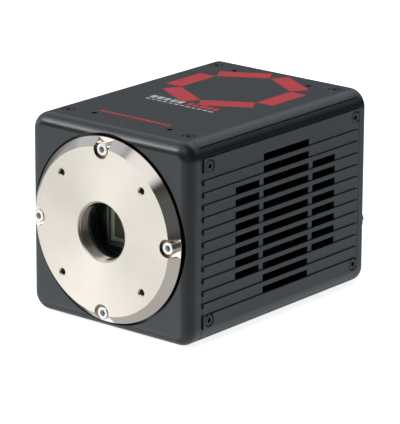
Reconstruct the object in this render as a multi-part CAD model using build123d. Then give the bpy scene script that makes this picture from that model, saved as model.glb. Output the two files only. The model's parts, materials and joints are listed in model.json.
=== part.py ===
from build123d import *
import os
from math import cos, pi, radians, sin, sqrt

os.makedirs("parts", exist_ok=True)

# All sizes are in millimetres. The origin is the centre of the lens flange face.
# The optical axis runs along +Y into the body, +Z is up and +X is the fan side.

# Case
body_width = 85.0
body_height = 85.0
cover_front = 4.4          # the lens flange stands this far in front of the cover
front_seam = 12.7
rear_seam = 116.2
body_rear = 121.0
corner_radius = 7.5
front_fillet = 5.0
rear_fillet = 2.0
seam_gap = 0.12
edge_break = 0.15          # small bevel along the seams between front, middle and rear
panel_wall = 3.0
lid_wall = 2.5
half_width = body_width / 2
half_height = body_height / 2
panel_inner = half_width - panel_wall
lid_inner = half_height - lid_wall
rounding_x = half_width - corner_radius
rounding_z = half_height - corner_radius
inner_corner = corner_radius - panel_wall
long_seam_angle = 49.0     # down the rounding, from the top
long_seam_half_gap = 1.3   # degrees, each side of the long seam
long_seam_bevel = 0.6      # side of the square whose corner cuts the two bevels of the seam

# Ribs and air slots of a side panel: the slots lie in the channels between the raised ribs
channel_count = 12
channel_pitch = 5.14
channel_height = 3.15
rib_proud = 0.7
rib_bevel = 0.12
rib_rear_end = 115.0       # the ribs stop short of the rear seam
pad_edge = 35.6            # outer edge of the raised pad that holds the screws
slot_centre_y = 66.5
middle_slot = 30.0
outer_slot = 15.4
slot_bar = 2.6
slot_corner = 0.8
first_outer_row = 2
last_outer_row = 9

# Lens mount disc
disc_face_radius = 35.3
disc_radius = 39.0
disc_thickness = 8.0
pocket_radius = 40.1
pocket_floor = 8.0
cover_floor_back = 11.0
thread_radius = 12.27      # crest of the 1 inch, 32 per inch lens thread
thread_depth = 6.0
thread_chamfer = 0.5
disc_screw_circle = 34.5
counterbore_radius = 3.8
counterbore_depth = 3.6
accessory_circle = 60.0    # pitch circle diameter of the small tapped holes
tapped_radius = 1.25
countersink_radius = 1.75

# Frame inside the case
plate_back = 14.5
plate_side = 78.9
recess_side = 79.0         # of the front cover's back, around the plate
recess_corner = 4.4
rail_inner = 30.2
rail_screw = 35.4
corner_screw_inset = 3.7   # from each seam
side_screw_z = 32.2
top_screw_x = 31.9
top_hole_x = 20.0
top_hole_inset = 6.3

# Cold head
boss_radius = 19.95
retainer_bore = 13.0
window_recess = 11.3
chamber_back = 30.0
sink_front = 30.6
sink_base = 35.6
sensor_plane = 17.526      # flange focal distance
head_screw = 22.5
head_side = 54.0           # of the chamber's square body and its gasket
head_corner = 6.0
window_radius = 15.3
aperture_radius = 12.0
package_front = 16.9
package_back = 19.6

# Fan
fan_centre_y = slot_centre_y
fan_size = 60.0
fan_inner_x = 23.0
fan_outer_x = 38.0
fan_bore = 28.6
blade_tip = 27.8
hub_radius = 12.0
blade_count = 7
blade_thickness = 1.2
blade_chord = 18.0
blade_angle = 38
fan_screw_offset = 25.0
hub_plate = 1.8
strut_width = 2.6
bearing_seat = 3.0
shaft_radius = 1.5
bearing_clearance = 0.05

# Boards
board_thickness = 1.6
main_board_z = 33.5
interface_board_y = 103.0


def save(shape, node):
    export_step(shape, f"parts/{node}.step")


def cross_plane(y):
    return Plane(origin=(0, y, 0), x_dir=(1, 0, 0), z_dir=(0, -1, 0))


def prism_y(sketch, y_from, y_to):
    """Solid with an XZ outline, between two places along Y."""
    return extrude(cross_plane(y_to) * sketch, amount=y_to - y_from)


def prism_x(sketch, x_from, x_to):
    """Solid with a YZ outline, between two places along X."""
    return extrude(Plane.YZ.offset(x_from) * sketch, amount=x_to - x_from)


def prism_z(sketch, z_from, z_to):
    """Solid with an XY outline, between two places along Z."""
    return extrude(Plane.XY.offset(z_from) * sketch, amount=z_to - z_from)


def rod_x(y, z, radius, x_from, x_to):
    return prism_x(Pos(y, z) * Circle(radius), x_from, x_to)


def rod_y(x, z, radius, y_from, y_to):
    return prism_y(Pos(x, z) * Circle(radius), y_from, y_to)


def rod_z(x, y, radius, z_from, z_to):
    return prism_z(Pos(x, y) * Circle(radius), z_from, z_to)


def block(x_from, x_to, y_from, y_to, z_from, z_to):
    size = (x_to - x_from, y_to - y_from, z_to - z_from)
    middle = ((x_from + x_to) / 2, (y_from + y_to) / 2, (z_from + z_to) / 2)
    return Pos(*middle) * Box(*size)


def turned(points):
    """Solid turned about the optical axis from (radius, y) points."""
    return revolve(make_face(Polyline(*points, close=True)), Axis.Y, 360)


def rounded(width, height, radius):
    return RectangleRounded(width, height, radius)


def four_corners(a, b):
    return [(a, b), (-a, b), (-a, -b), (a, -b)]


def group(solids):
    return Compound(children=list(solids))


# Screws are made upright: the seat under the head is at the origin, the shank points down.

def cap_screw(head_radius, head_height, shank_radius, length, key):
    head = prism_z(Circle(head_radius), 0, head_height)
    head = chamfer(head.edges().group_by(Axis.Z)[-1], 0.3)
    shank = prism_z(Circle(shank_radius), -length, 0)
    socket = prism_z(RegularPolygon(key / sqrt(3), 6), 0.35 * head_height, head_height + 1)
    return head + shank - socket


def flat_screw_seat(head_radius, shank_radius, length):
    """What a countersunk screw fills, with the head's top at the origin."""
    cone_depth = head_radius - shank_radius
    profile = [(0, 0), (head_radius, 0), (shank_radius, -cone_depth), (shank_radius, -length), (0, -length)]
    return revolve(make_face(Plane.XZ * Polyline(*profile, close=True)), Axis.Z, 360)


def flat_screw(head_radius, shank_radius, length, key):
    socket = prism_z(RegularPolygon(key / sqrt(3), 6), 0.8 * (shank_radius - head_radius), 1)
    return flat_screw_seat(head_radius, shank_radius, length) - socket


outward = {
    "front": Rot(90, 0, 0),
    "rear": Rot(-90, 0, 0),
    "right": Rot(0, 90, 0),
    "left": Rot(0, -90, 0),
    "up": Rot(0, 0, 0),
    "down": Rot(180, 0, 0),
}

screw_ys = (front_seam + corner_screw_inset, rear_seam - corner_screw_inset)
top_hole_ys = (front_seam + top_hole_inset, rear_seam - top_hole_inset)
disc_screw_places = [(disc_screw_circle, 0), (0, disc_screw_circle),
                     (-disc_screw_circle, 0), (0, -disc_screw_circle)]
accessory_places = four_corners(accessory_circle / 2 * cos(pi / 4), accessory_circle / 2 * sin(pi / 4))
cover_screw_places = [(36 * cos(radians(a)), 36 * sin(radians(a))) for a in (22.5, 112.5, 202.5, 292.5)]
rail_screw_places = four_corners(rail_screw, rail_screw)
head_screw_places = four_corners(head_screw, head_screw)


# ---- Lens mount disc and its screws

def mount_disc():
    rim = disc_radius - disc_face_radius
    back_bore = boss_radius + 0.1
    disc = turned([(thread_radius + thread_chamfer, 0), (disc_face_radius, 0), (disc_radius, rim),
                   (disc_radius, disc_thickness), (back_bore, disc_thickness), (back_bore, thread_depth),
                   (thread_radius, thread_depth), (thread_radius, thread_chamfer)])
    outer_notch = Rectangle(8, 2 * counterbore_radius)
    for angle in (0, 90, 180, 270):
        turn = Rot(0, 0, angle)
        notch = turn * (Pos(disc_screw_circle, 0) * Circle(counterbore_radius))
        notch += turn * (Pos(disc_screw_circle + 4, 0) * outer_notch)
        disc -= prism_y(notch, -1, counterbore_depth)
    for x, z in disc_screw_places:
        disc -= rod_y(x, z, 1.65, 0, disc_thickness + 1)
    for x, z in accessory_places:
        disc -= Pos(x, 0, z) * outward["front"] * flat_screw_seat(countersink_radius, tapped_radius, 5.0)
    return disc


save(mount_disc(), "mount_disc")

disc_screw = cap_screw(2.75, 3.0, 1.25, 12.0, 2.5)
save(group(Pos(x, counterbore_depth, z) * outward["front"] * disc_screw for x, z in disc_screw_places),
     "mount_disc_screws")


# ---- Case

def front_cover():
    shell = prism_y(rounded(body_width, body_height, corner_radius), cover_front, front_seam)
    shell = chamfer(shell.edges().group_by(Axis.Y)[-1], edge_break)
    shell = fillet(shell.edges().group_by(Axis.Y)[0], front_fillet)
    shell -= rod_y(0, 0, pocket_radius, 0, pocket_floor)
    shell -= rod_y(0, 0, boss_radius + 0.3, pocket_floor, cover_floor_back)
    shell -= prism_y(rounded(recess_side, recess_side, recess_corner), cover_floor_back, front_seam + 1)
    for x, z in disc_screw_places:
        shell -= rod_y(x, z, 1.65, pocket_floor - 1, cover_floor_back + 1)
    for x, z in cover_screw_places:
        shell -= Pos(x, pocket_floor, z) * outward["front"] * flat_screw_seat(*cover_screw_size)
    return shell


cover_screw_size = (2.35, tapped_radius, 7.0)
cover_screw = flat_screw(*cover_screw_size, 1.5)
save(group(Pos(x, pocket_floor, z) * outward["front"] * cover_screw for x, z in cover_screw_places),
     "front_cover_screws")
save(front_cover(), "front_cover")


def break_ends(shell):
    """Bevel the outline at both ends of a plain prism along Y."""
    ends = shell.edges().group_by(Axis.Y)
    return chamfer(ends[0] + ends[-1], edge_break)


def long_seam_groove():
    """Square bar along the upper +X seam, corner inwards, that bevels both edges of the seam."""
    x = rounding_x + corner_radius * sin(radians(long_seam_angle))
    z = rounding_z + corner_radius * cos(radians(long_seam_angle))
    bar = Pos(x, z) * Rot(0, 0, 45 - long_seam_angle) * Rectangle(long_seam_bevel, long_seam_bevel)
    return prism_y(bar, front_seam, rear_seam)


def case_ring():
    """Ring between the two ends of the case, before it is parted at the long seams."""
    outline = rounded(body_width, body_height, corner_radius)
    outer = prism_y(outline, front_seam + seam_gap, rear_seam - seam_gap)
    inner = rounded(2 * panel_inner, 2 * lid_inner, inner_corner)
    ring = break_ends(outer) - prism_y(inner, front_seam, rear_seam)
    right_grooves = [long_seam_groove(), mirror(long_seam_groove(), Plane.XY)]
    return ring - right_grooves - [mirror(groove, Plane.YZ) for groove in right_grooves]


def side_sector(seam_angle):
    """Everything beside the two long seams on the +X side, as a solid to cut with."""
    reach = 12
    out_x = rounding_x + reach * sin(radians(seam_angle))
    out_z = rounding_z + reach * cos(radians(seam_angle))
    outline = Polyline((rounding_x, rounding_z), (out_x, out_z), (60, out_z), (60, -out_z),
                       (out_x, -out_z), (rounding_x, -rounding_z), close=True)
    return prism_y(make_face(outline), front_seam - 1, rear_seam + 1)


channel_span = (channel_count - 1) * channel_pitch + channel_height
channel_bottoms = [channel_pitch * row - channel_span / 2 for row in range(channel_count)]
crest = half_width + rib_proud


def rib(bottom, top):
    """Raised band along the side, bevelled on its two outer edges."""
    root = half_width - 0.5
    outline = Polyline((root, bottom), (crest - rib_bevel, bottom), (crest, bottom + rib_bevel),
                       (crest, top - rib_bevel), (crest - rib_bevel, top), (root, top), close=True)
    return prism_y(make_face(outline), front_seam + seam_gap, rib_rear_end)


def ribs_and_pads():
    bands = [(bottom + channel_height, bottom + channel_pitch) for bottom in channel_bottoms[:-1]]
    bands += [(-pad_edge, channel_bottoms[0]), (channel_span / 2, pad_edge)]
    return [rib(bottom, top) for bottom, top in bands]


slot_columns = [(0, middle_slot, range(channel_count))]
outer_slot_offset = middle_slot / 2 + slot_bar + outer_slot / 2
for side in (-1, 1):
    slot_columns.append((side * outer_slot_offset, outer_slot, range(first_outer_row, last_outer_row + 1)))


def slot_cutters():
    cutters = []
    for offset, length, rows in slot_columns:
        for row in rows:
            middle_z = channel_bottoms[row] + channel_height / 2
            outline = Pos(slot_centre_y + offset, middle_z) * rounded(length, channel_height, slot_corner)
            cutters.append(prism_x(outline, panel_inner - 1, crest + 1))
    return cutters


side_screw = cap_screw(2.5, 1.4, tapped_radius, 5.5, 2.0)
side_seat = crest - 1.5
side_recess = 2.8


def side_screws():
    return [Pos(side_seat, y, z) * outward["right"] * side_screw
            for y in screw_ys for z in (side_screw_z, -side_screw_z)]


def side_panel():
    panel = case_ring() & side_sector(long_seam_angle + long_seam_half_gap)
    panel += ribs_and_pads()
    panel -= slot_cutters()
    for y in screw_ys:
        for z in (side_screw_z, -side_screw_z):
            panel -= rod_x(y, z, side_recess, side_seat, crest + 1)
            panel -= rod_x(y, z, 1.4, panel_inner - 1, side_seat)
    return panel


left_side_panel = mirror(side_panel(), Plane.YZ)
fan_corners = four_corners(fan_screw_offset, fan_screw_offset)
right_side_panel = side_panel()
for y, z in fan_corners:
    boss = rod_x(fan_centre_y + y, z, 3.2, fan_outer_x, panel_inner + 0.5)
    right_side_panel += boss - rod_x(fan_centre_y + y, z, tapped_radius, fan_outer_x, panel_inner + 1)
    right_side_panel -= rod_x(fan_centre_y + y, z, tapped_radius, fan_outer_x - 1, half_width - 1.0)
save(right_side_panel, "right_side_panel")
save(left_side_panel, "left_side_panel")
save(group(side_screws() + [mirror(screw, Plane.YZ) for screw in side_screws()]), "side_panel_screws")

lid_seat = half_height - 1.3
lid_recess = 2.75
lid_screw_places = [(x, y) for x in (top_screw_x, -top_screw_x) for y in screw_ys]
lid_hole_places = [(x, y) for x in (top_hole_x, -top_hole_x) for y in top_hole_ys]
lid_screw = cap_screw(2.5, 1.3, tapped_radius, 6.5, 2.0)


def lid():
    """Top cover: it wraps over both long edges down to the long seams."""
    sector = side_sector(long_seam_angle - long_seam_half_gap)
    shell = case_ring() - sector - mirror(sector, Plane.YZ)
    shell &= block(-60, 60, 0, 130, 0, 60)
    for x, y in lid_hole_places:
        shell += rod_z(x, y, 2.8, lid_inner - 4, lid_inner + 0.5)
        shell -= rod_z(x, y, tapped_radius, half_height - 5.5, half_height + 1)
    for x, y in lid_screw_places:
        shell -= rod_z(x, y, lid_recess, lid_seat, half_height + 1)
        shell -= rod_z(x, y, 1.4, lid_inner - 1, lid_seat)
    return shell


lid_screws = [Pos(x, y, lid_seat) * lid_screw for x, y in lid_screw_places]
tripod_y = 50.0
tripod_top = -36.0
bottom_cover = mirror(lid(), Plane.XY)
bottom_cover += rod_z(0, tripod_y, 8.0, tripod_top, -lid_inner - 0.5)
bottom_cover -= rod_z(0, tripod_y, 5.0, -half_height - 1, tripod_top + 1)
save(lid(), "top_cover")
save(group(lid_screws), "top_cover_screws")
save(bottom_cover, "bottom_cover")
save(group(mirror(screw, Plane.XY) for screw in lid_screws), "bottom_cover_screws")

tripod_insert = rod_z(0, tripod_y, 5.0, -half_height, tripod_top)
tripod_insert -= rod_z(0, tripod_y, 2.6, -half_height - 1, tripod_top - 1)
tripod_insert = chamfer(tripod_insert.edges().group_by(Axis.Z)[0].sort_by(SortBy.RADIUS)[0], 0.5)
save(tripod_insert, "tripod_insert")


# ---- Frame

rail_screw_size = (2.35, tapped_radius, 10.0)
rail_screw_solid = flat_screw(*rail_screw_size, 1.5)
rail_screws = [Pos(x, cover_floor_back, z) * outward["front"] * rail_screw_solid
               for x, z in rail_screw_places]
head_screw_seat = cover_floor_back + 2.6
head_screw_solid = cap_screw(2.5, 2.5, tapped_radius, 21.0, 2.0)
head_screws = [Pos(x, head_screw_seat, z) * outward["front"] * head_screw_solid for x, z in head_screw_places]
save(group(rail_screws), "rail_screws")
save(group(head_screws), "cold_head_screws")


def front_plate():
    plate = prism_y(rounded(plate_side, plate_side, inner_corner), cover_floor_back, plate_back)
    plate -= rod_y(0, 0, boss_radius + 0.1, cover_floor_back - 1, plate_back + 1)
    for x, z in disc_screw_places + cover_screw_places:
        plate -= rod_y(x, z, tapped_radius, cover_floor_back - 1, plate_back + 1)
    for x, z in head_screw_places:
        plate -= rod_y(x, z, 2.7, cover_floor_back - 1, head_screw_seat)
        plate -= rod_y(x, z, 1.4, head_screw_seat, plate_back + 1)
    for x, z in rail_screw_places:
        plate -= Pos(x, cover_floor_back, z) * outward["front"] * flat_screw_seat(*rail_screw_size)
    return plate


save(front_plate(), "front_plate")

rear_screw_size = (2.6, tapped_radius, 14.0)
rear_screw = flat_screw(*rear_screw_size, 1.5)
rear_screws = [Pos(x, body_rear, z) * outward["rear"] * rear_screw for x, z in rail_screw_places]
save(group(rear_screws), "rear_panel_screws")


def chassis_rail():
    """One corner bar of the frame, rounded to lie inside the long edge of the case."""
    bar = block(rail_inner, panel_inner, plate_back, rear_seam, rail_inner, lid_inner)
    outer_edge = bar.edges().filter_by(Axis.Y).sort_by(lambda edge: edge.center().X + edge.center().Z)[-1]
    bar = fillet(outer_edge, inner_corner)
    for y in screw_ys:
        bar -= rod_x(y, side_screw_z, tapped_radius, side_seat - 5.5, panel_inner + 1)
        bar -= rod_z(top_screw_x, y, tapped_radius, lid_seat - 6.5, lid_inner + 1)
    bar -= rod_y(rail_screw, rail_screw, tapped_radius, plate_back - 1, cover_floor_back + 10.0)
    bar -= rod_y(rail_screw, rail_screw, tapped_radius, body_rear - 14.0, rear_seam + 1)
    return bar


one_rail = chassis_rail()
left_rail = mirror(one_rail, Plane.YZ)
save(group([one_rail, left_rail, mirror(one_rail, Plane.XY), mirror(left_rail, Plane.XY)]), "chassis_rails")


# ---- Window and sensor chamber

retainer_front = 6.15
window_front = 8.3
save(turned([(retainer_bore, retainer_front), (15.4, retainer_front), (15.4, window_front),
             (retainer_bore, window_front)]), "window_retainer")
save(rod_y(0, 0, window_radius, window_front, window_front + 2), "window_glass")
save(revolve(Pos(13.6, window_recess - 0.5) * Circle(0.5), Axis.Y, 360), "window_o_ring")


def chamber_housing():
    body = rod_y(0, 0, boss_radius, 6.05, plate_back + 1)
    body += prism_y(rounded(head_side, head_side, head_corner), plate_back, chamber_back)
    body -= rod_y(0, 0, 15.5, 5, window_recess)
    body -= rod_y(0, 0, aperture_radius, window_recess - 1, 13.0)
    body -= rod_y(0, 0, 17.0, 12.3, 19.0)
    body -= rod_y(0, 0, 21.0, 18.5, chamber_back + 1)
    for x, z in head_screw_places:
        body -= rod_y(x, z, 1.4, plate_back - 1, chamber_back + 1)
    body -= block(-9, 9, 23.4, 24.9, 15, 28)
    return body


save(chamber_housing(), "chamber_housing")
gasket = prism_y(rounded(head_side, head_side, head_corner) - Circle(22.0), chamber_back, sink_front)
for x, z in head_screw_places:
    gasket -= rod_y(x, z, 1.4, chamber_back - 1, sink_front + 1)
save(gasket, "chamber_gasket")

sensor_side = 15.0
sensor_package = prism_y(rounded(22, 22, 0.8), package_front, package_back)
sensor_package -= prism_y(rounded(18, 18, 0.5), 16, sensor_plane + 0.7)
save(sensor_package, "sensor_package")
save(block(-sensor_side / 2, sensor_side / 2, sensor_plane, sensor_plane + 0.7,
           -sensor_side / 2, sensor_side / 2), "sensor_die")
save(prism_y(rounded(20.5, 20.5, 0.6), package_front - 0.7, package_front), "sensor_lid_glass")
board_back = package_back + board_thickness
sensor_board = prism_y(Circle(20.0) - rounded(14.4, 14.4, 0.5), package_back, board_back)
save(sensor_board, "sensor_board")
ribbon_front = 23.8
ribbon_height = 36.4
save(group([block(-9, 9, board_back, ribbon_front, 10.5, 14.5),
            block(-9, 9, 29.5, 33.5, main_board_z + board_thickness, ribbon_height)]), "ribbon_sockets")
flange_front = 24.5
cooler_front = 27.0
plate_thickness = 0.8
pellet_pitch = 4
cold_finger = block(-7, 7, package_back, flange_front, -7, 7)
cold_finger += block(-13, 13, flange_front, cooler_front, -9, 9)
save(cold_finger, "cold_finger")


def thermoelectric_cooler():
    """Two ceramic plates with a grid of pellets between them."""
    cold_plate_back = cooler_front + plate_thickness
    hot_plate_front = sink_front - plate_thickness
    cooler = block(-14, 14, cooler_front, cold_plate_back, -14, 14)
    cooler += block(-14, 14, hot_plate_front, sink_front, -14, 14)
    steps = range(-12, 13, pellet_pitch)
    pellets = [block(x - 1, x + 1, cold_plate_back, hot_plate_front, z - 1, z + 1)
               for x in steps for z in steps]
    return cooler + pellets


save(thermoelectric_cooler(), "thermoelectric_cooler")


def ribbon():
    """Flat flex from the sensor board, out of the chamber and over the main board."""
    thick = 0.2
    bend = 2.5
    end_y = 33.0
    start_z = 11.0
    inner = FilletPolyline((ribbon_front + thick, start_z), (ribbon_front + thick, ribbon_height),
                           (end_y, ribbon_height), radius=bend)
    outer = FilletPolyline((ribbon_front, start_z), (ribbon_front, ribbon_height + thick),
                           (end_y, ribbon_height + thick), radius=bend + thick)
    far_end = Line((end_y, ribbon_height + thick), (end_y, ribbon_height))
    near_end = Line((ribbon_front + thick, start_z), (ribbon_front, start_z))
    return prism_x(make_face(Wire([*outer.edges(), far_end, *inner.edges(), near_end])), -8, 8)


save(ribbon(), "sensor_ribbon")


# ---- Heat sink

fin_count = 16
fin_thickness = 1.0
fin_back = 98.0
sink_right = 20.0
sink_left = -37.0


def heat_sink():
    sink = block(sink_left, -sink_left, sink_front, sink_base, -30, 30)
    fin_step = (60 - fin_thickness) / (fin_count - 1)
    fins = [block(sink_left, sink_right, sink_base, fin_back,
                  -30 + step * fin_step, -30 + step * fin_step + fin_thickness) for step in range(fin_count)]
    sink += fins
    for x, z in head_screw_places:
        sink -= rod_y(x, z, tapped_radius, sink_front - 1, head_screw_seat + 21.0)
    return sink


save(heat_sink(), "heat_sink")


# ---- Fan

def fan_frame():
    middle = Pos(fan_centre_y, 0)
    frame = prism_x(middle * rounded(fan_size, fan_size, 3), fan_inner_x, fan_outer_x)
    frame -= prism_x(middle * Circle(fan_bore), fan_inner_x - 1, fan_outer_x + 1)
    hub = prism_x(middle * Circle(hub_radius + 0.5), fan_outer_x - hub_plate, fan_outer_x)
    tube = prism_x(middle * Circle(4.0), fan_outer_x - 12.0, fan_outer_x)
    frame += hub
    for angle in (20, 110, 200, 290):
        strut = middle * (Rot(0, 0, angle) * (Pos((fan_bore + hub_radius) / 2, 0)
                          * Rectangle(fan_bore - hub_radius + 1.5, strut_width)))
        frame += prism_x(strut, fan_outer_x - hub_plate, fan_outer_x)
    frame += tube
    frame -= prism_x(middle * Circle(bearing_seat), fan_outer_x - 13.0, fan_outer_x - 1.0)
    for y, z in fan_corners:
        frame -= rod_x(fan_centre_y + y, z, 1.7, fan_inner_x - 1, fan_outer_x + 1)
    return frame


def fan_ring(inner_radius, outer_radius, x_from, x_to):
    return prism_x(Pos(fan_centre_y, 0) * (Circle(outer_radius) - Circle(inner_radius)), x_from, x_to)


def fan_rotor():
    middle = Pos(fan_centre_y, 0)
    cup = prism_x(middle * Circle(hub_radius), fan_inner_x + 0.6, fan_outer_x - 2.8)
    cup -= prism_x(middle * Circle(hub_radius - 1.2), fan_inner_x + 2.2, fan_outer_x)
    cup -= prism_x(middle * Circle(shaft_radius), fan_inner_x, fan_outer_x)
    span = blade_tip + 2 - (hub_radius - 1)
    sweep = fan_ring(hub_radius - 0.6, blade_tip, fan_inner_x + 1.0, fan_outer_x - 3.0)
    for number in range(blade_count):
        blade = Rot(0, 0, blade_angle) * Box(blade_thickness, blade_chord, span)
        blade = Pos(0, 0, (blade_tip + hub_radius) / 2) * blade
        blade = Pos(30.2, fan_centre_y, 0) * Rot(360 / blade_count * number, 0, 0) * blade
        cup += blade & sweep
    return cup


save(fan_frame(), "fan_frame")
save(fan_rotor(), "fan_rotor")
save(rod_x(fan_centre_y, 0, shaft_radius, fan_inner_x + 0.6, fan_outer_x - 2.0), "fan_shaft")
save(fan_ring(9.2, hub_radius - 1.2, 26.0, 34.5), "fan_magnet_ring")
bearing_bore = shaft_radius + bearing_clearance
save(group([fan_ring(bearing_bore, bearing_seat, x, x + 2.0) for x in (26.4, 33.0)]), "fan_bearings")


def fan_stator():
    core = fan_ring(4.0, 5.4, 27.5, 33.5)
    for angle in (0, 90, 180, 270):
        pole = Pos(fan_centre_y, 0) * (Rot(0, 0, angle) * (Pos(6.6, 0) * Rectangle(3.6, 5.0)))
        core += prism_x(pole, 27.5, 33.5)
    return core


save(fan_stator(), "fan_stator")
fan_screw = cap_screw(2.6, 2.2, tapped_radius, 17.5, 2.0)
save(group(Pos(fan_inner_x, fan_centre_y + y, z) * outward["left"] * fan_screw for y, z in fan_corners),
     "fan_screws")


# ---- Boards

board_left = -29.0
board_right = 29.0
board_front = 28.0
board_end = 106.0
board_top = main_board_z + board_thickness
standoff_places = [(x, y) for x in (-24, 14) for y in (40, 92)]
interface_back = interface_board_y + board_thickness
interface_places = four_corners(36, 27)


def flat_board():
    """Board over the heat sink, with its four screw holes."""
    board = block(board_left, board_right, board_front, board_end, main_board_z, board_top)
    for x, y in standoff_places:
        board -= rod_z(x, y, 1.4, main_board_z - 1, board_top + 1)
    return board


def board_standoff(x, y):
    return rod_z(x, y, 2.5, 30, main_board_z) - rod_z(x, y, tapped_radius, 29, main_board_z + 1)


save(flat_board(), "main_board")
save(mirror(flat_board(), Plane.XY), "power_board")
standoffs = [board_standoff(x, y) for x, y in standoff_places]
save(group(standoffs + [mirror(standoff, Plane.XY) for standoff in standoffs]), "board_standoffs")
board_screw = cap_screw(2.2, 1.3, tapped_radius, 5.0, 1.5)
screws = [Pos(x, y, board_top) * board_screw for x, y in standoff_places]
screws += [mirror(screw, Plane.XY) for screw in screws]
screws += [Pos(x, interface_board_y, z) * outward["front"] * board_screw for x, z in interface_places]
save(group(screws), "board_screws")

processor = block(-13, 13, 52, 78, board_top, board_top + 1.2)
processor += block(-11, 11, 54, 76, board_top + 1.2, board_top + 2.8)
save(processor, "processor")
save(group(block(x - 4.5, x + 4.5, y - 6, y + 6, board_top, board_top + 1.2)
           for x in (-20, 20) for y in (56, 74)), "memory_chips")
save(group([block(x - 5, x + 5, y - 5, y + 5, -main_board_z, -30.6) for x in (-14, 0) for y in (62, 76)]
           + [rod_z(20, y, 3.0, -main_board_z, -30.4) for y in (36, 44, 52)]), "power_chokes")
save(group([block(-12, 12, interface_board_y, interface_back, 29.5, main_board_z),
            block(-12, 12, interface_board_y, interface_back, -main_board_z, -29.5)]), "board_links")

interface_board = block(-38.5, 38.5, interface_board_y, interface_back, -29.5, 29.5)
for x, z in interface_places:
    interface_board -= rod_y(x, z, 1.4, interface_board_y - 1, interface_back + 1)
save(interface_board, "interface_board")
save(group(rod_y(x, z, 2.3, interface_back, rear_seam) - rod_y(x, z, tapped_radius, interface_back - 1, 112)
           for x, z in interface_places), "interface_standoffs")


def fan_lead():
    """Lead from the fan frame down to its plug on the power board."""
    exit_y = fan_centre_y + fan_size / 2
    route = FilletPolyline((27, exit_y, -20), (27, exit_y + 3, -20), (27, exit_y + 3, -31), radius=2)
    lead = sweep(Plane(origin=route @ 0, z_dir=route % 0) * Circle(0.9), path=route)
    return lead + block(24.4, 28.6, exit_y + 1, exit_y + 5, -main_board_z, -30.9)


save(fan_lead(), "fan_lead")


# ---- Rear panel and its sockets

inlet_x = -25.0
socket_row_z = -18.0
data_x = -2.0
stream_xs = (16.0, 31.0)
coax_xs = (-9.0, 4.0, 17.0, 30.0)
coax_row_z = 20.0
switch_x = -27.0
switch_z = 18.0
light_x = 30.0
light_z = 5.0
inlet_bore = 4.8
inlet_shell = 6.5
switch_depth = 106.0
pocket_depth = 112.0


def screw_barrel(x, z, outer_radius, bore_radius, reach, nut_across):
    """Coaxial socket: a barrel through the panel with a hexagonal shoulder behind it."""
    barrel = rod_y(x, z, outer_radius, interface_back, body_rear + reach)
    barrel += prism_y(Pos(x, z) * RegularPolygon(nut_across / sqrt(3), 6), body_rear, body_rear + 1.8)
    barrel -= rod_y(x, z, bore_radius, body_rear - 4, body_rear + reach + 1)
    barrel = chamfer(barrel.edges().group_by(Axis.Y)[-1].sort_by(SortBy.RADIUS)[-1], 0.3)
    return barrel


def insulator(x, z, radius, reach, pin_radius):
    """White insulator with the centre contact standing out of it."""
    collar = rod_y(x, z, radius, body_rear - 4, body_rear + 1)
    return collar + rod_y(x, z, pin_radius, body_rear, body_rear + reach)


coax_sockets = [screw_barrel(x, coax_row_z, 3.15, 2.3, 8.0, 8.0) for x in coax_xs]


def stream_socket(x):
    """Bayonet socket: a barrel with two studs across it."""
    studs = rod_x(body_rear + 5.5, socket_row_z, 0.9, x - 5.5, x + 5.5)
    studs -= rod_y(x, socket_row_z, 4.5, body_rear, body_rear + 10)
    return screw_barrel(x, socket_row_z, 4.85, 4.0, 9.0, 12.0) + studs


stream_sockets = [stream_socket(x) for x in stream_xs]
save(group(coax_sockets), "coax_sockets")
save(group(stream_sockets), "stream_sockets")
save(group([insulator(x, coax_row_z, 2.3, 5.0, 0.5) for x in coax_xs]
           + [insulator(x, socket_row_z, 4.0, 5.0, 0.9) for x in stream_xs]), "socket_insulators")


def power_inlet():
    shell = rod_y(inlet_x, socket_row_z, inlet_shell, interface_back, body_rear + 6)
    shell += rod_y(inlet_x, socket_row_z, 8.5, body_rear, body_rear + 1.5)
    shell -= rod_y(inlet_x, socket_row_z, inlet_bore, 110, body_rear + 7)
    shell -= block(inlet_x - 0.9, inlet_x + 0.9, 114, body_rear + 7, socket_row_z + 4, socket_row_z + 5.5)
    return shell


def power_inlet_insert():
    insert = rod_y(inlet_x, socket_row_z, inlet_bore, 110, 113)
    pins = [rod_y(inlet_x + x, socket_row_z + z, 0.5, 113, 120.5) for x, z in four_corners(1.7, 1.7)]
    return insert + pins


save(power_inlet(), "power_inlet")
save(power_inlet_insert(), "power_inlet_insert")


def socket_box(width, height, y_from, y_to):
    return prism_y(Pos(data_x, socket_row_z) * rounded(width, height, 0.6), y_from, y_to)


data_socket = socket_box(13.0, 12.0, interface_back, body_rear) - socket_box(11.4, 10.4, 108, body_rear + 1)
data_socket += block(data_x - 3.6, data_x + 3.6, 107, 119, socket_row_z - 4.2, socket_row_z - 1.6)
save(data_socket, "data_socket")

light = rod_y(light_x, light_z, 1.5, pocket_depth, body_rear)
light_dome = Pos(light_x, body_rear - 0.9, light_z) * Sphere(1.75)
light += light_dome & rod_y(light_x, light_z, 1.5, body_rear - 0.1, body_rear + 2)
save(light, "status_light")

# The rocker rests in its off position, half of its travel to one side of square
switch_tilt = 8.0
switch_pivot_y = 118.5


def switch_outline(width, height, radius):
    return Pos(switch_x, switch_z) * rounded(width, height, radius)


switch_body = prism_y(switch_outline(12.6, 18.8, 0.8), switch_depth, body_rear)
switch_body += prism_y(switch_outline(15.0, 21.4, 1.6), body_rear, body_rear + 1.3)
switch_body -= prism_y(switch_outline(10.4, 17.2, 0.4), pocket_depth, body_rear + 2)
switch_body -= rod_x(switch_pivot_y, switch_z, 0.8, switch_x - 5.9, switch_x + 5.9)
save(switch_body, "switch_body")
save(rod_x(switch_pivot_y, switch_z, 0.8, switch_x - 5.9, switch_x + 5.9), "switch_pin")


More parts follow.
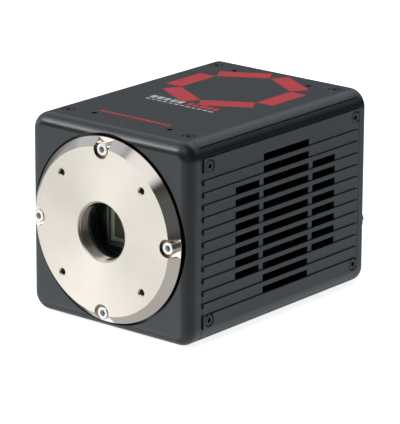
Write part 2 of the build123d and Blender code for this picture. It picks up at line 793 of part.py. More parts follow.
def switch_rocker():
    outline = make_face(Polyline((-3.5, -3), (1.0, -7.9), (4.4, -7.6), (2.7, 0), (4.4, 7.6), (1.0, 7.9),
                                 (-3.5, 3), close=True))
    tilted = Pos(switch_pivot_y, switch_z) * Rot(0, 0, switch_tilt) * outline
    rocker = prism_x(tilted, switch_x - 5.0, switch_x + 5.0)
    return rocker - rod_x(switch_pivot_y, switch_z, 0.85, switch_x - 6, switch_x + 6)


save(switch_rocker(), "switch_rocker")


def rear_panel():
    panel = prism_y(rounded(body_width, body_height, corner_radius), rear_seam, body_rear)
    panel = chamfer(panel.edges().group_by(Axis.Y)[0], edge_break)
    panel = fillet(panel.edges().group_by(Axis.Y)[-1], rear_fillet)
    for x, z in rail_screw_places:
        panel -= Pos(x, body_rear, z) * outward["rear"] * flat_screw_seat(*rear_screw_size)
    panel -= rod_y(inlet_x, socket_row_z, inlet_shell, rear_seam - 1, body_rear + 1)
    panel -= socket_box(13.0, 12.0, rear_seam - 1, body_rear + 1)
    panel -= prism_y(switch_outline(12.6, 18.8, 0.8), rear_seam - 1, body_rear + 1)
    panel -= rod_y(light_x, light_z, 1.5, rear_seam - 1, body_rear + 1)
    for x in stream_xs:
        panel -= rod_y(x, socket_row_z, 4.85, rear_seam - 1, body_rear + 1)
    for x in coax_xs:
        panel -= rod_y(x, coax_row_z, 3.15, rear_seam - 1, body_rear + 1)
    return panel


save(rear_panel(), "rear_panel")
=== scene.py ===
import json
import math
import bpy
from mathutils import Matrix, Vector


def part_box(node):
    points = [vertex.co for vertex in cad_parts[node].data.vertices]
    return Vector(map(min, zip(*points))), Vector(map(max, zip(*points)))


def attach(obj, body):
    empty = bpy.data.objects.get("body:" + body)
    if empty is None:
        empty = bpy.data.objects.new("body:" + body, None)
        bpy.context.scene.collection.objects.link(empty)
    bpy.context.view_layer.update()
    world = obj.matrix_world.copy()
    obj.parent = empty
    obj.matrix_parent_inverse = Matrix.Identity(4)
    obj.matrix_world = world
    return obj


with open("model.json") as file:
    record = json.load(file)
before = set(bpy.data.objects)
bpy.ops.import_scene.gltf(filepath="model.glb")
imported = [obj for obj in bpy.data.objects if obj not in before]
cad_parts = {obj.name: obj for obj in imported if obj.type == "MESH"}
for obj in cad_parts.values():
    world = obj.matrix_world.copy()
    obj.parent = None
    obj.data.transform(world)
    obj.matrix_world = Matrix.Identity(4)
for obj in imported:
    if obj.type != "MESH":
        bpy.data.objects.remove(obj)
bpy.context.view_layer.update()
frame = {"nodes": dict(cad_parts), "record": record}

scene = bpy.context.scene
print("frame loaded:", len(frame["nodes"]), "nodes")

mm = 0.001


def addNode(tree, kind, values=None, **settings):
    node = tree.nodes.new(kind)
    for key, value in settings.items():
        setattr(node, key, value)
    for key, value in (values or {}).items():
        if isinstance(value, bpy.types.NodeSocket):
            tree.links.new(value, node.inputs[key])
        else:
            node.inputs[key].default_value = value
    return node


# camera and studio

cameraSetup = {
    "azimuth": 39.401,      # degrees round from straight in front of the lens
    "elevation": 16.907,
    "roll": 0.281,
    "distance": 1.29216,
    "aim": (2.26 * mm, 60 * mm, -4.913 * mm),
    "sensor": 36.0,
    "lens": 262.83,
    "clip": (0.01, 50),
}

studio = {
    "floorColor": (0.60, 0.60, 0.60, 1),
    "floorRough": 0.9,
    "floorGlow": 0.86,
    "floorSize": 6.0,
    "backdrop": (1.0, 1.0, 1.0, 1),
    "ambient": 0.02,
    "floorLight": 1.1,
    "floorLightAngle": 60,  # degrees, wide enough for a soft shadow
    "floorLightHeight": 2,
    # the lit paper all round below the horizon, as the case mirrors it
    "paperEdge": (-0.16, -0.25),
    "paperBase": (0.58, 0.62, 0.65),
    # each light: direction, half angle where it ends, softness in degrees, colour
    "paperLights": [
        ((-0.62, -0.73, -0.30), 40, 30, (1.56, 1.68, 1.74)),
        ((0.10, -0.95, -0.30), 42, 30, (0.86, 0.88, 0.90)),
        ((0.64, 0.72, -0.28), 60, 40, (0.80, 0.88, 0.93)),
    ],
    "boxes": [
        ((-0.62, 0.74, 0.27), 14, 8, (0.21, 0.22, 0.23)),
        ((-0.10, 0.72, 0.66), 27, 10, (0.92, 1.02, 1.14)),
        ((-0.60, 0.44, 0.67), 20, 6, (0.86, 0.96, 1.06)),
        ((-0.60, -0.02, 0.80), 40, 14, (0.66, 0.75, 0.84)),
        ((-0.61, -0.55, 0.57), 22, 14, (2.6, 2.65, 2.7)),
        ((-0.61, -0.66, 0.44), 9, 4, (14.4, 14.4, 14.2)),
        ((0.10, -0.58, 0.81), 24, 12, (1.16, 1.26, 1.36)),
        ((0.70, -0.66, 0.26), 26, 14, (0.10, 0.115, 0.125)),
        ((-0.97, 0.15, 0.12), 38, 22, (0.46, 0.51, 0.53)),
        ((-0.96, -0.26, 0.08), 24, 12, (1.20, 1.32, 1.38)),
        ((0.45, 0.75, 0.48), 18, 10, (0.40, 0.44, 0.50)),
    ],
}


def makeCamera():
    azimuth = math.radians(cameraSetup["azimuth"])
    elevation = math.radians(cameraSetup["elevation"])
    back = Vector((math.sin(azimuth) * math.cos(elevation),
                   -math.cos(azimuth) * math.cos(elevation), math.sin(elevation)))
    data = bpy.data.cameras.new("studioCamera")
    data.sensor_width = cameraSetup["sensor"]
    data.sensor_fit = "AUTO"
    data.lens = cameraSetup["lens"]
    data.clip_start, data.clip_end = cameraSetup["clip"]
    camera = bpy.data.objects.new("studioCamera", data)
    scene.collection.objects.link(camera)
    aim = Vector(cameraSetup["aim"])
    turn = back.to_track_quat("Z", "Y").to_matrix().to_4x4()
    roll = Matrix.Rotation(math.radians(cameraSetup["roll"]), 4, "Z")
    place = Matrix.Translation(aim + back * cameraSetup["distance"])
    camera.matrix_world = place @ turn @ roll
    scene.camera = camera


def lightLobe(tree, direction, toward, halfAngle, softness, color):
    dot = addNode(tree, "ShaderNodeVectorMath", {0: direction, 1: Vector(toward).normalized()},
                  operation="DOT_PRODUCT")
    ramp = addNode(tree, "ShaderNodeMapRange",
                   {"Value": dot.outputs["Value"], "From Min": math.cos(math.radians(halfAngle)),
                    "From Max": math.cos(math.radians(max(halfAngle - softness, 0)))},
                   interpolation_type="SMOOTHSTEP")
    return addNode(tree, "ShaderNodeVectorMath", {0: color, "Scale": ramp.outputs["Result"]},
                   operation="SCALE").outputs[0]


def brighterOf(tree, one, other):
    return addNode(tree, "ShaderNodeVectorMath", {0: one, 1: other},
                   operation="MAXIMUM").outputs[0]


# the lights lie on the world, where the camera sees only a plain backdrop
def makeWorld():
    world = bpy.data.worlds.new("studioWorld")
    scene.world = world
    world.use_nodes = True
    tree = world.node_tree
    tree.nodes.clear()
    direction = tree.nodes.new("ShaderNodeTexCoord").outputs["Generated"]
    paper = addNode(tree, "ShaderNodeCombineXYZ", dict(zip("XYZ", studio["paperBase"]))).outputs[0]
    for light in studio["paperLights"]:
        paper = brighterOf(tree, paper, lightLobe(tree, direction, *light))
    height = addNode(tree, "ShaderNodeSeparateXYZ", {"Vector": direction}).outputs["Z"]
    edgeStart, edgeEnd = studio["paperEdge"]
    below = addNode(tree, "ShaderNodeMapRange",
                    {"Value": height, "From Min": edgeStart, "From Max": edgeEnd},
                    interpolation_type="SMOOTHSTEP").outputs["Result"]
    total = addNode(tree, "ShaderNodeVectorMath", {0: paper, "Scale": below},
                    operation="SCALE").outputs[0]
    for box in studio["boxes"]:
        total = brighterOf(tree, total, lightLobe(tree, direction, *box))
    ambient = addNode(tree, "ShaderNodeVectorMath", {0: total, 1: (studio["ambient"],) * 3}, operation="ADD")
    soft = tree.nodes.new("ShaderNodeBackground")
    tree.links.new(ambient.outputs[0], soft.inputs["Color"])
    plain = tree.nodes.new("ShaderNodeBackground")
    plain.inputs["Color"].default_value = studio["backdrop"]
    path = tree.nodes.new("ShaderNodeLightPath")
    mix = tree.nodes.new("ShaderNodeMixShader")
    tree.links.new(path.outputs["Is Camera Ray"], mix.inputs["Fac"])
    tree.links.new(soft.outputs[0], mix.inputs[1])
    tree.links.new(plain.outputs[0], mix.inputs[2])
    out = tree.nodes.new("ShaderNodeOutputWorld")
    tree.links.new(mix.outputs[0], out.inputs["Surface"])


def makeFloor():
    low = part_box("bottom_cover")[0].z
    mesh = bpy.data.meshes.new("studioFloor")
    half = studio["floorSize"] / 2
    corners = [(-half, -half, low), (half, -half, low), (half, half, low), (-half, half, low)]
    mesh.from_pydata(corners, [], [(0, 1, 2, 3)])
    floor = bpy.data.objects.new("studioFloor", mesh)
    scene.collection.objects.link(floor)
    paint = bpy.data.materials.new("floorPaper")
    paint.use_nodes = True
    shader = paint.node_tree.nodes["Principled BSDF"]
    shader.inputs["Base Color"].default_value = studio["floorColor"]
    shader.inputs["Roughness"].default_value = studio["floorRough"]
    shader.inputs["Emission Color"].default_value = (1, 1, 1, 1)
    shader.inputs["Emission Strength"].default_value = studio["floorGlow"]
    mesh.materials.append(paint)
    floor.visible_glossy = False


def makeFloorLight():
    lamp = bpy.data.lights.new("floorLight", "SUN")
    lamp.energy = studio["floorLight"]
    lamp.angle = math.radians(studio["floorLightAngle"])
    light = bpy.data.objects.new("floorLight", lamp)
    light.matrix_world = Matrix.Translation((0, 0, studio["floorLightHeight"]))
    light.visible_glossy = False
    scene.collection.objects.link(light)


makeCamera()
makeWorld()
makeFloor()
makeFloorLight()
scene.view_settings.view_transform = "Standard"
scene.view_settings.look = "None"
print("camera and studio ready")


# materials

def makeMaterial(name):
    material = bpy.data.materials.new(name)
    material.use_nodes = True
    tree = material.node_tree
    shader = tree.nodes["Principled BSDF"]
    return material, tree, shader


def objectPoint(tree):
    return addNode(tree, "ShaderNodeTexCoord").outputs["Object"]


def noiseAt(tree, scale, detail=2.0, point=None):
    return addNode(tree, "ShaderNodeTexNoise",
                   {"Vector": point or objectPoint(tree), "Scale": scale,
                    "Detail": detail}).outputs["Fac"]


def spread(tree, value, low, high, fromLow=0.3, fromHigh=0.7):
    return addNode(tree, "ShaderNodeMapRange",
                   {"Value": value, "From Min": fromLow, "From Max": fromHigh,
                    "To Min": low, "To Max": high}).outputs["Result"]


def twoColors(tree, value, dark, light):
    return addNode(tree, "ShaderNodeMix", {"Factor": value, 6: (*dark, 1), 7: (*light, 1)},
                   data_type="RGBA").outputs[2]


def bumpFrom(tree, shader, height, distance, strength=1.0):
    bump = addNode(tree, "ShaderNodeBump",
                   {"Height": height, "Distance": distance, "Strength": strength})
    tree.links.new(bump.outputs["Normal"], shader.inputs["Normal"])


def setShader(shader, metallic=0.0, **more):
    shader.inputs["Metallic"].default_value = metallic
    for name, value in more.items():
        shader.inputs[name.replace("_", " ")].default_value = value


casePaintLook = {
    "dark": (0.0075, 0.0085, 0.0095),
    "light": (0.0105, 0.0118, 0.0128),
    "roughLow": 0.30,
    "roughHigh": 0.36,
    "ior": 1.58,
    "clouds": 60,
    "grain": 2600,
    "grainDepth": 0.006 * mm,
}


def casePaint():
    look = casePaintLook
    material, tree, shader = makeMaterial("casePaint")
    cloud = noiseAt(tree, look["clouds"], 3)
    grain = noiseAt(tree, look["grain"], 2)
    tree.links.new(twoColors(tree, spread(tree, cloud, 0, 1), look["dark"], look["light"]),
                   shader.inputs["Base Color"])
    tree.links.new(spread(tree, grain, look["roughLow"], look["roughHigh"]), shader.inputs["Roughness"])
    bumpFrom(tree, shader, grain, look["grainDepth"])
    setShader(shader, IOR=look["ior"])
    return material


turnedMetalLook = {
    "dark": (0.650, 0.570, 0.492),
    "light": (0.690, 0.610, 0.532),
    "roughLow": 0.24,
    "roughHigh": 0.30,
    "bevelRough": 0.10,     # the bevel outside this radius is cut finer than the face
    "bevelFrom": 35.2 * mm,
    "bevelTo": 35.4 * mm,
    "clouds": 45,
    "turns": 5200,
    "turnDepth": 0.0004 * mm,
    "anisotropy": 0.7,
}


# fine turning marks round the lens axis
def turnedMetal():
    look = turnedMetalLook
    material, tree, shader = makeMaterial("turnedMetal")
    point = objectPoint(tree)
    parts = addNode(tree, "ShaderNodeSeparateXYZ", {"Vector": point})
    flat = addNode(tree, "ShaderNodeCombineXYZ",
                   {"X": parts.outputs["X"], "Y": parts.outputs["Z"]})
    radius = addNode(tree, "ShaderNodeVectorMath", {0: flat.outputs[0]},
                     operation="LENGTH").outputs["Value"]
    turns = addNode(tree, "ShaderNodeTexNoise", {"W": radius, "Scale": look["turns"], "Detail": 3.0},
                    noise_dimensions="1D").outputs["Fac"]
    cloud = noiseAt(tree, look["clouds"], 3, point)
    tree.links.new(twoColors(tree, spread(tree, cloud, 0, 1), look["dark"], look["light"]),
                   shader.inputs["Base Color"])
    bevel = spread(tree, radius, 0, 1, look["bevelFrom"], look["bevelTo"])
    faceRough = spread(tree, turns, look["roughLow"], look["roughHigh"])
    rough = addNode(tree, "ShaderNodeMix", {"Factor": bevel, 2: faceRough, 3: look["bevelRough"]})
    tree.links.new(rough.outputs[0], shader.inputs["Roughness"])
    tangent = addNode(tree, "ShaderNodeTangent", direction_type="RADIAL", axis="Y")
    tree.links.new(tangent.outputs[0], shader.inputs["Tangent"])
    bumpFrom(tree, shader, turns, look["turnDepth"])
    setShader(shader, metallic=1.0, Anisotropic=look["anisotropy"])
    return material


plainGrain = {"clouds": 300, "grain": 2500, "grainDepth": 0.003 * mm}


def plainFinish(name, dark, light, roughLow, roughHigh, metallic=0.0, **more):
    material, tree, shader = makeMaterial(name)
    cloud = noiseAt(tree, plainGrain["clouds"], 3)
    fine = noiseAt(tree, plainGrain["grain"], 2)
    tree.links.new(twoColors(tree, spread(tree, cloud, 0, 1), dark, light), shader.inputs["Base Color"])
    tree.links.new(spread(tree, fine, roughLow, roughHigh), shader.inputs["Roughness"])
    bumpFrom(tree, shader, fine, plainGrain["grainDepth"])
    setShader(shader, metallic=metallic, **more)
    return material


windowGlassLook = {
    "dark": (0.88, 0.96, 0.90),
    "light": (0.94, 0.99, 0.95),
    "roughLow": 0.01,
    "roughHigh": 0.04,
    "haze": 120,
    "ior": 1.14,            # low, as a coated window hardly mirrors
}


def windowGlass():
    look = windowGlassLook
    material, tree, shader = makeMaterial("windowGlass")
    haze = noiseAt(tree, look["haze"], 2)
    tree.links.new(spread(tree, haze, look["roughLow"], look["roughHigh"]), shader.inputs["Roughness"])
    tree.links.new(twoColors(tree, haze, look["dark"], look["light"]), shader.inputs["Base Color"])
    setShader(shader, Transmission_Weight=1.0, IOR=look["ior"])
    return material


# each plain finish: name, darkest and lightest colour, roughness from and to, metallic
plainFinishes = {
    "steel_screw": ("steelScrew", (0.62, 0.60, 0.57), (0.74, 0.72, 0.69), 0.18, 0.30, 1.0),
    "black_screw": ("blackScrew", (0.045, 0.047, 0.05), (0.06, 0.062, 0.066), 0.30, 0.42, 0.7),
    "black_anodised": ("blackAnodised", (0.006, 0.006, 0.007), (0.011, 0.011, 0.012), 0.45, 0.6),
    "raw_aluminium": ("rawAluminium", (0.50, 0.51, 0.52), (0.62, 0.63, 0.64), 0.35, 0.5, 1.0),
    "seal_rubber": ("sealRubber", (0.010, 0.010, 0.010), (0.02, 0.02, 0.02), 0.6, 0.75),
    "package_ceramic": ("packageCeramic", (0.74, 0.72, 0.68), (0.82, 0.80, 0.76), 0.3, 0.45),
    "sensor_silicon": ("sensorSilicon", (0.17, 0.19, 0.07), (0.22, 0.24, 0.10), 0.12, 0.20, 0.7),
    "board_laminate": ("boardLaminate", (0.006, 0.04, 0.02), (0.012, 0.065, 0.03), 0.3, 0.45),
    "socket_plastic": ("socketPlastic", (0.012, 0.012, 0.013), (0.02, 0.02, 0.021), 0.35, 0.5),
    "copper": ("bareCopper", (0.70, 0.32, 0.18), (0.80, 0.42, 0.26), 0.25, 0.4, 1.0),
    "ribbon_film": ("ribbonFilm", (0.30, 0.14, 0.02), (0.38, 0.19, 0.03), 0.25, 0.35),
    "bright_steel": ("brightSteel", (0.55, 0.55, 0.56), (0.66, 0.66, 0.67), 0.18, 0.3, 1.0),
    "brass_plated": ("goldPlate", (0.78, 0.55, 0.22), (0.88, 0.66, 0.30), 0.18, 0.3, 1.0),
    "nickel_plated": ("nickelPlate", (0.58, 0.56, 0.53), (0.68, 0.66, 0.63), 0.14, 0.26, 1.0),
    "insulator_white": ("insulatorWhite", (0.72, 0.71, 0.68), (0.80, 0.79, 0.76), 0.4, 0.5),
    "chip_plastic": ("chipPlastic", (0.010, 0.010, 0.010), (0.018, 0.018, 0.018), 0.5, 0.62),
    "light_lens": ("lightLens", (0.18, 0.42, 0.12), (0.24, 0.52, 0.16), 0.12, 0.2),
}

finishes = {
    "case_paint": casePaint(),
    "turned_metal": turnedMetal(),
    "window_glass": windowGlass(),
    "fan_plastic": plainFinish("fanPlastic", (0.004, 0.004, 0.005), (0.008, 0.008, 0.009),
                               0.55, 0.7, IOR=1.3),
}
for slot, look in plainFinishes.items():
    finishes[slot] = plainFinish(*look)

for entry in frame["record"]["subparts"]:
    cadNode = frame["nodes"][entry["node"]]
    cadNode.data.materials.clear()
    cadNode.data.materials.append(finishes[entry["material_slot"]])
frame["nodes"]["window_retainer"].data.materials[0] = plainFinish(
    "retainerGrey", (0.16, 0.17, 0.18), (0.22, 0.23, 0.25), 0.25, 0.35, 0.8)
print("finishes on every node")


# pieces grown with geometry nodes

def makeNodes(name, inputs):
    tree = bpy.data.node_groups.new(name, "GeometryNodeTree")
    tree.interface.new_socket("Geometry", in_out="INPUT", socket_type="NodeSocketGeometry")
    tree.interface.new_socket("Geometry", in_out="OUTPUT", socket_type="NodeSocketGeometry")
    for label, value in inputs.items():
        kind = "NodeSocketInt" if isinstance(value, int) else "NodeSocketFloat"
        tree.interface.new_socket(label, in_out="INPUT", socket_type=kind).default_value = value
    start = tree.nodes.new("NodeGroupInput")
    end = tree.nodes.new("NodeGroupOutput")
    return tree, start.outputs, end


def finishNodes(tree, end, instances, finish):
    real = addNode(tree, "GeometryNodeRealizeInstances", {"Geometry": instances})
    painted = addNode(tree, "GeometryNodeSetMaterial", {"Geometry": real.outputs[0], "Material": finish})
    tree.links.new(painted.outputs[0], end.inputs[0])
    return tree


# a square bar, sized by three of the tree's inputs
def barOf(tree, given, third="Thickness"):
    size = addNode(tree, "ShaderNodeCombineXYZ",
                   {"X": given["Length"], "Y": given["Width"], "Z": given[third]})
    return addNode(tree, "GeometryNodeMeshCube", {"Size": size.outputs[0]}).outputs["Mesh"]


# a four-sided rod along a curve
def rodAlong(tree, curve, radius):
    profile = addNode(tree, "GeometryNodeCurvePrimitiveCircle", {"Resolution": 4, "Radius": radius},
                      mode="RADIUS")
    return addNode(tree, "GeometryNodeCurveToMesh", {
        "Curve": curve, "Profile Curve": profile.outputs[0], "Fill Caps": True}).outputs["Mesh"]


def placeOn(tree, points, instance, **more):
    return addNode(tree, "GeometryNodeInstanceOnPoints",
                   {"Points": points, "Instance": instance, **more}).outputs[0]


# the axis that seedMesh keeps on each point
def axisOf(tree):
    return addNode(tree, "GeometryNodeInputNamedAttribute", {"Name": "axis"},
                   data_type="FLOAT_VECTOR").outputs["Attribute"]


def turnTo(tree, values, **settings):
    return addNode(tree, "FunctionNodeAlignRotationToVector", values, **settings).outputs[0]


# places: rows of (point, axis)
def seedMesh(name, places):
    mesh = bpy.data.meshes.new(name)
    mesh.from_pydata([place for place, axis in places], [], [])
    axes = mesh.attributes.new("axis", "FLOAT_VECTOR", "POINT")
    for number, (place, axis) in enumerate(places):
        axes.data[number].vector = axis
    return mesh


# runs the tree on the seed mesh and keeps the result as a plain mesh
def growPiece(name, mesh, grow, values, finish, body):
    piece = bpy.data.objects.new(name, mesh)
    scene.collection.objects.link(piece)
    modifier = piece.modifiers.new("grow", "NODES")
    modifier.node_group = grow(finish)
    for item in modifier.node_group.interface.items_tree:
        if item.item_type == "SOCKET" and item.in_out == "INPUT" and item.name in values:
            modifier[item.identifier] = values[item.name]
    bpy.context.view_layer.update()
    grown = bpy.data.meshes.new_from_object(piece.evaluated_get(bpy.context.evaluated_depsgraph_get()))
    piece.modifiers.remove(modifier)
    piece.data = grown
    grown.name = name
    if not grown.materials:
        grown.materials.append(finish)
    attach(piece, body)
    print("piece", name, len(grown.polygons), "faces")


# one helical ridge of a screw thread at every point, along the point's axis
def coilTree(finish):
    tree, given, end = makeNodes("coil", {
        "Radius": 1.0, "Pitch": 0.5, "Turns": 4.0, "Ridge": 0.1, "Steps": 24})
    height = addNode(tree, "ShaderNodeMath", {0: given["Pitch"], 1: given["Turns"]},
                     operation="MULTIPLY")
    path = addNode(tree, "GeometryNodeCurveSpiral", {
        "Resolution": given["Steps"], "Rotations": given["Turns"], "Start Radius": given["Radius"],
        "End Radius": given["Radius"], "Height": height.outputs[0]})
    upright = addNode(tree, "GeometryNodeSetCurveNormal", {"Curve": path.outputs[0]}, mode="Z_UP")
    ridge = rodAlong(tree, upright.outputs[0], given["Ridge"])
    turn = turnTo(tree, {"Vector": axisOf(tree)}, axis="Z")
    return finishNodes(tree, end, placeOn(tree, given["Geometry"], ridge, Rotation=turn), finish)


# a row of flat plates at every point, across the point's axis, each a little shorter or longer
def plateTree(finish):
    tree, given, end = makeNodes("plates", {
        "Count": 8, "Step": 1.0, "Length": 0.8, "Width": 0.5, "Thickness": 0.02, "Shortest": 1.0,
        "Seed": 1})
    row = addNode(tree, "GeometryNodeMeshLine", {"Count": given["Count"]}, mode="OFFSET")
    offset = addNode(tree, "ShaderNodeCombineXYZ", {"X": given["Step"]})
    tree.links.new(offset.outputs[0], row.inputs["Offset"])
    part = addNode(tree, "FunctionNodeRandomValue",
                   {2: given["Shortest"], 3: 1.0, "Seed": given["Seed"]}, data_type="FLOAT")
    scale = addNode(tree, "ShaderNodeCombineXYZ", {"X": part.outputs[1], "Y": 1.0, "Z": 1.0})
    plates = placeOn(tree, row.outputs[0], barOf(tree, given), Scale=scale.outputs[0])
    turn = turnTo(tree, {"Vector": axisOf(tree)}, axis="Z")
    return finishNodes(tree, end, placeOn(tree, given["Geometry"], plates, Rotation=turn), finish)


# straight bars round a ring, square to its radius
def barRingTree(finish):
    tree, given, end = makeNodes("barRing", {
        "Bars": 6, "Radius": 1.0, "Length": 1.0, "Width": 0.5, "Thickness": 0.02})
    ring = addNode(tree, "GeometryNodeMeshCircle", {"Vertices": given["Bars"], "Radius": given["Radius"]})
    place = addNode(tree, "GeometryNodeInputPosition")
    turn = turnTo(tree, {"Vector": place.outputs[0]}, axis="Y", pivot_axis="Z")
    bars = placeOn(tree, ring.outputs[0], barOf(tree, given), Rotation=turn)
    return finishNodes(tree, end, placeOn(tree, given["Geometry"], bars), finish)


# a thin arched wire at every point, its foot dropping outward along the point's axis
def wireTree(finish):
    tree, given, end = makeNodes("wires", {
        "Reach": 1.0, "Drop": 0.6, "Arch": 0.3, "Radius": 0.03, "Steps": 6})
    middle = addNode(tree, "ShaderNodeMath", {0: given["Reach"], 1: 0.45}, operation="MULTIPLY")
    top = addNode(tree, "ShaderNodeCombineXYZ", {"X": middle.outputs[0], "Z": given["Arch"]})
    fall = addNode(tree, "ShaderNodeMath", {0: given["Drop"], 1: -1.0}, operation="MULTIPLY")
    foot = addNode(tree, "ShaderNodeCombineXYZ", {"X": given["Reach"], "Z": fall.outputs[0]})
    path = addNode(tree, "GeometryNodeCurveQuadraticBezier", {
        "Resolution": given["Steps"], "Start": (0, 0, 0), "Middle": top.outputs[0],
        "End": foot.outputs[0]})
    wire = rodAlong(tree, path.outputs[0], given["Radius"])
    forward = turnTo(tree, {"Vector": (0, -1, 0)}, axis="Z")
    turn = turnTo(tree, {"Rotation": forward, "Vector": axisOf(tree)}, axis="X", pivot_axis="Z")
    return finishNodes(tree, end, placeOn(tree, given["Geometry"], wire, Rotation=turn), finish)


# small square parts strewn over flat patches, turned by quarter turns
def scatterTree(finish):
    tree, given, end = makeNodes("scatter", {
        "Gap": 3.0, "Density": 60000.0, "Length": 1.6, "Width": 0.8, "Height": 0.5, "Seed": 3})
    spots = addNode(tree, "GeometryNodeDistributePointsOnFaces", {
        "Mesh": given["Geometry"], "Distance Min": given["Gap"], "Density Max": given["Density"],
        "Seed": given["Seed"]}, distribute_method="POISSON")
    quarter = addNode(tree, "FunctionNodeRandomValue", {4: 0, 5: 3, "Seed": given["Seed"]},
                      data_type="INT")
    angle = addNode(tree, "ShaderNodeMath", {0: quarter.outputs[2], 1: math.pi / 2},
                    operation="MULTIPLY")
    spin = addNode(tree, "ShaderNodeCombineXYZ", {"Z": angle.outputs[0]})
    turn = addNode(tree, "FunctionNodeEulerToRotation", {"Euler": spin.outputs[0]})
    whole = addNode(tree, "FunctionNodeRotateRotation", {
        "Rotation": spots.outputs["Rotation"], "Rotate By": turn.outputs[0]}, rotation_space="LOCAL")
    chips = placeOn(tree, spots.outputs["Points"], barOf(tree, given, "Height"),
                    Rotation=whole.outputs[0])
    return finishNodes(tree, end, chips, finish)


# screw threads: the coil's sizes, its finish, and where each coil starts and points

rear = (0, 1, 0)
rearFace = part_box("rear_panel")[1].y
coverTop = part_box("top_cover")[1].z
tappedOffset = 30 * math.sqrt(0.5) * mm     # the disc's small holes lie on a 60 mm circle
coverHoles = [(x * mm, y * mm) for x in (-20, 20) for y in (19.0, 109.9)]
coaxColumns = (-9, 4, 17, 30)

threads = {
    "lensThread": {
        "Radius": 12.2 * mm, "Pitch": 0.794 * mm, "Turns": 6.0, "Ridge": 0.36 * mm, "Steps": 96,
        "slot": "turned_metal",
        "starts": [((0, 0.9 * mm, 0), rear)],
    },
    "tappedThread": {
        "Radius": 1.25 * mm, "Pitch": 0.5 * mm, "Turns": 7.0, "Ridge": 0.05 * mm, "Steps": 16,
        "slot": "black_anodised",
        "starts": [((x * tappedOffset, 1.0 * mm, z * tappedOffset), rear)
                   for x in (-1, 1) for z in (-1, 1)],
    },
    "coverThread": {
        "Radius": 1.25 * mm, "Pitch": 0.5 * mm, "Turns": 8.0, "Ridge": 0.1 * mm, "Steps": 16,
        "slot": "case_paint",
        "starts": [((x, y, z * (coverTop - 0.4 * mm)), (0, 0, -z))
                   for x, y in coverHoles for z in (-1, 1)],
    },
    "coaxThread": {
        "Radius": 3.12 * mm, "Pitch": 0.6 * mm, "Turns": 8.0, "Ridge": 0.16 * mm, "Steps": 24,
        "slot": "brass_plated",
        "starts": [((x * mm, rearFace + 2.4 * mm, 20 * mm), rear) for x in coaxColumns],
    },
    "inletThread": {
        "Radius": 6.45 * mm, "Pitch": 0.75 * mm, "Turns": 4.5, "Ridge": 0.18 * mm, "Steps": 36,
        "slot": "nickel_plated",
        "starts": [((-25 * mm, rearFace + 2.0 * mm, -18 * mm), rear)],
    },
}
for name, thread in threads.items():
    growPiece(name, seedMesh(name, thread["starts"]), coilTree, thread, finishes[thread["slot"]],
              "camera")
print("threads done")


# bond wires round the sensor

bondWires = {"Reach": 0.95 * mm, "Drop": 0.66 * mm, "Arch": 0.35 * mm, "Radius": 0.035 * mm, "Steps": 6,
             "perSide": 22, "pitch": 0.62 * mm, "edge": 7.42 * mm}
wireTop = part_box("sensor_die")[0].y - 0.01 * mm
wireFeet = []
for number in range(bondWires["perSide"]):
    along = (number - (bondWires["perSide"] - 1) / 2) * bondWires["pitch"]
    for side in (-1, 1):
        edge = side * bondWires["edge"]
        wireFeet.append(((edge, wireTop, along), (side, 0, 0)))
        wireFeet.append(((along, wireTop, edge), (0, 0, side)))
growPiece("bondWires", seedMesh("bondWires", wireFeet), wireTree, bondWires,
          finishes["brass_plated"], "camera")


# printing on the top cover, plain shapes only

redInk = plainFinish("redInk", (0.46, 0.012, 0.018), (0.54, 0.018, 0.026), 0.3, 0.4)
whiteInk = plainFinish("whiteInk", (0.44, 0.44, 0.44), (0.53, 0.53, 0.53), 0.3, 0.4)
inkLift = 0.02 * mm
inkThickness = 0.02 * mm

bigPrint = {"Bars": 6, "Radius": 24.4 * mm, "Length": 22.8 * mm, "Width": 8.4 * mm,
            "Thickness": inkThickness, "middle": (0, 86 * mm)}
growPiece("bigPrint", seedMesh("bigPrint", [((*bigPrint["middle"], coverTop + inkLift), (0, 0, 1))]),
          barRingTree, bigPrint, redInk, "camera")

printRows = {
    "redLine": {"Count": 14, "Step": 2.66 * mm, "Length": 2.3 * mm, "Width": 2.0 * mm,
                "Shortest": 0.7, "Seed": 4, "start": (-19.1, 23.6), "ink": redInk},
    "whiteRow": {"Count": 5, "Step": 3.6 * mm, "Length": 3.1 * mm, "Width": 3.6 * mm,
                 "Shortest": 0.75, "Seed": 7, "start": (-18.3, 54.6), "ink": whiteInk},
    "redRow": {"Count": 5, "Step": 3.4 * mm, "Length": 3.0 * mm, "Width": 3.6 * mm,
               "Shortest": 0.75, "Seed": 9, "start": (1.2, 54.6), "ink": redInk},
    "whiteLine": {"Count": 12, "Step": 3.05 * mm, "Length": 2.6 * mm, "Width": 1.0 * mm,
                  "Shortest": 0.7, "Seed": 12, "start": (-18.4, 50.8), "ink": whiteInk},
}
for name, row in printRows.items():
    x, y = row["start"]
    growPiece(name, seedMesh(name, [((x * mm, y * mm, coverTop + inkLift), (0, 0, 1))]), plateTree,
              dict(row, Thickness=inkThickness), row["ink"], "camera")


# plain marks on the rear panel and the switch

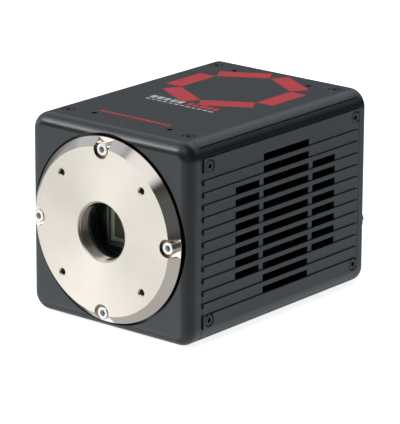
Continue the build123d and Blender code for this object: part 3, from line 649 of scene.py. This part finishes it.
rearMarks = {"Count": 3, "Step": 2.0 * mm, "Length": 1.6 * mm, "Width": 0.7 * mm,
             "Thickness": inkThickness, "Shortest": 0.8, "Seed": 5, "back": 2.0}
markPlaces = ([(x, 13.2) for x in coaxColumns] + [(x, -28.5) for x in (-25, -2, 16, 31)]
              + [(30, 1.2)])
growPiece("rearMarks",
          seedMesh("rearMarks", [(((x - rearMarks["back"]) * mm, rearFace + inkLift, z * mm), rear)
                                 for x, z in markPlaces]),
          plateTree, rearMarks, whiteInk, "camera")

# the mark lies on the upper half of the rocker, which leans back a little
switchMark = {"Count": 1, "Step": 1.0 * mm, "Length": 0.7 * mm, "Width": 2.4 * mm,
              "Thickness": inkThickness, "Shortest": 1.0, "Seed": 1,
              "place": (-27 * mm, 121.5 * mm, 22.26 * mm), "lean": (0, 0.9968, -0.0803)}
growPiece("switchMark", seedMesh("switchMark", [(switchMark["place"], switchMark["lean"])]),
          plateTree, switchMark, whiteInk, "rocker")
print("printing done")


# small parts on the boards

# patches: rows of (x from, x to, y from, y to, z, face up)
def patchMesh(name, patches):
    corners = []
    faces = []
    for left, right, near, far, z, up in patches:
        ring = [(left, near, z), (right, near, z), (right, far, z), (left, far, z)]
        faces.append([len(corners) + number for number in range(4)])
        corners += [tuple(value * mm for value in corner) for corner in (ring if up else ring[::-1])]
    mesh = bpy.data.meshes.new(name)
    mesh.from_pydata(corners, [], faces)
    return mesh


boardChips = {"Gap": 2.6 * mm, "Density": 300000.0, "Length": 1.6 * mm, "Width": 0.8 * mm,
              "Height": 0.9 * mm, "Seed": 3, "boardFace": 35.1}
upper = (boardChips["boardFace"], True)
lower = (-boardChips["boardFace"], False)
chipPatches = [(-26, 26, 82, 89, *upper), (-12, 12, 42, 49, *upper), (-26, 26, 95, 101, *upper),
               (-26, 8, 82, 89, *lower), (-20, 12, 42, 58, *lower)]
growPiece("boardChips", patchMesh("boardChips", chipPatches), scatterTree, boardChips,
          finishes["chip_plastic"], "camera")
print("board parts done")
